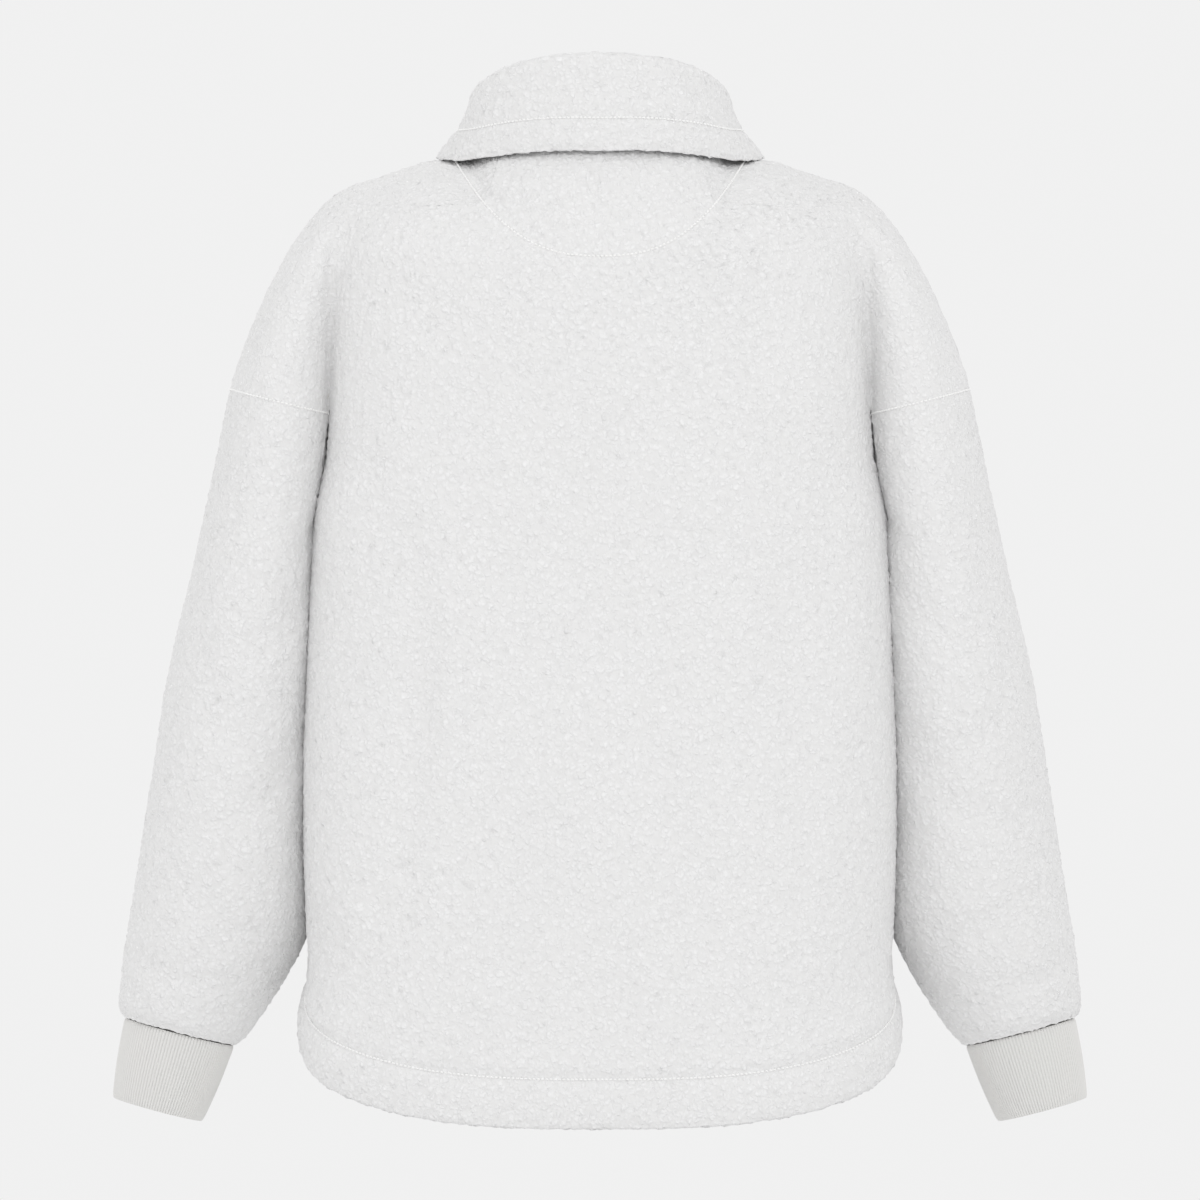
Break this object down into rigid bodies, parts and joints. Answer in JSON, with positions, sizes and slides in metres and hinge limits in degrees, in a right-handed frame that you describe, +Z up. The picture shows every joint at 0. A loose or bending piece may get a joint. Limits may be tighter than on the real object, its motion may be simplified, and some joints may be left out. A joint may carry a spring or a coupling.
{
  "type": "zip-neck pullover",
  "caption": "Hollow oversized zip-neck pullover in curly pile fleece, with dropped shoulders, a fold-over collar, ribbed cuffs and a curved hem.",
  "frame": {"origin": "middle of the neck opening at shoulder height, where the wearer's shoulders hold the garment", "axes": "+Z up, -Y towards the garment's front, +X towards the wearer's left"},
  "size_m": [0.706, 0.2552, 0.7688],
  "materials": {
    "pile_fleece": "matt curly pile of fine white fibre",
    "rib_knit": "matt fine rib knit, off-white",
    "zip_tape": "matt woven tape, off-white",
    "zip_metal": "satin silver-coloured metal"
  },
  "bodies": {
    "garment": {"back_panel": "pile_fleece", "front_panel": "pile_fleece", "neck_patch": "pile_fleece", "sleeve_left": "pile_fleece", "sleeve_right": "pile_fleece", "collar": "pile_fleece", "cuff_left": "rib_knit", "cuff_right": "rib_knit", "zip_tape_left": "zip_tape", "zip_tape_right": "zip_tape", "zip_slider": "zip_metal", "bottom_stop": "zip_metal"},
    "zip_pull": {"zip_pull": "zip_metal"}
  },
  "joints": [
    {"name": "pull_swing", "type": "hinge", "parent": "garment", "child": "zip_pull", "pos_m": [0, -0.09595, -0.08889], "axis": [-1, 0, 0], "range_deg": [0, 150]}
  ]
}
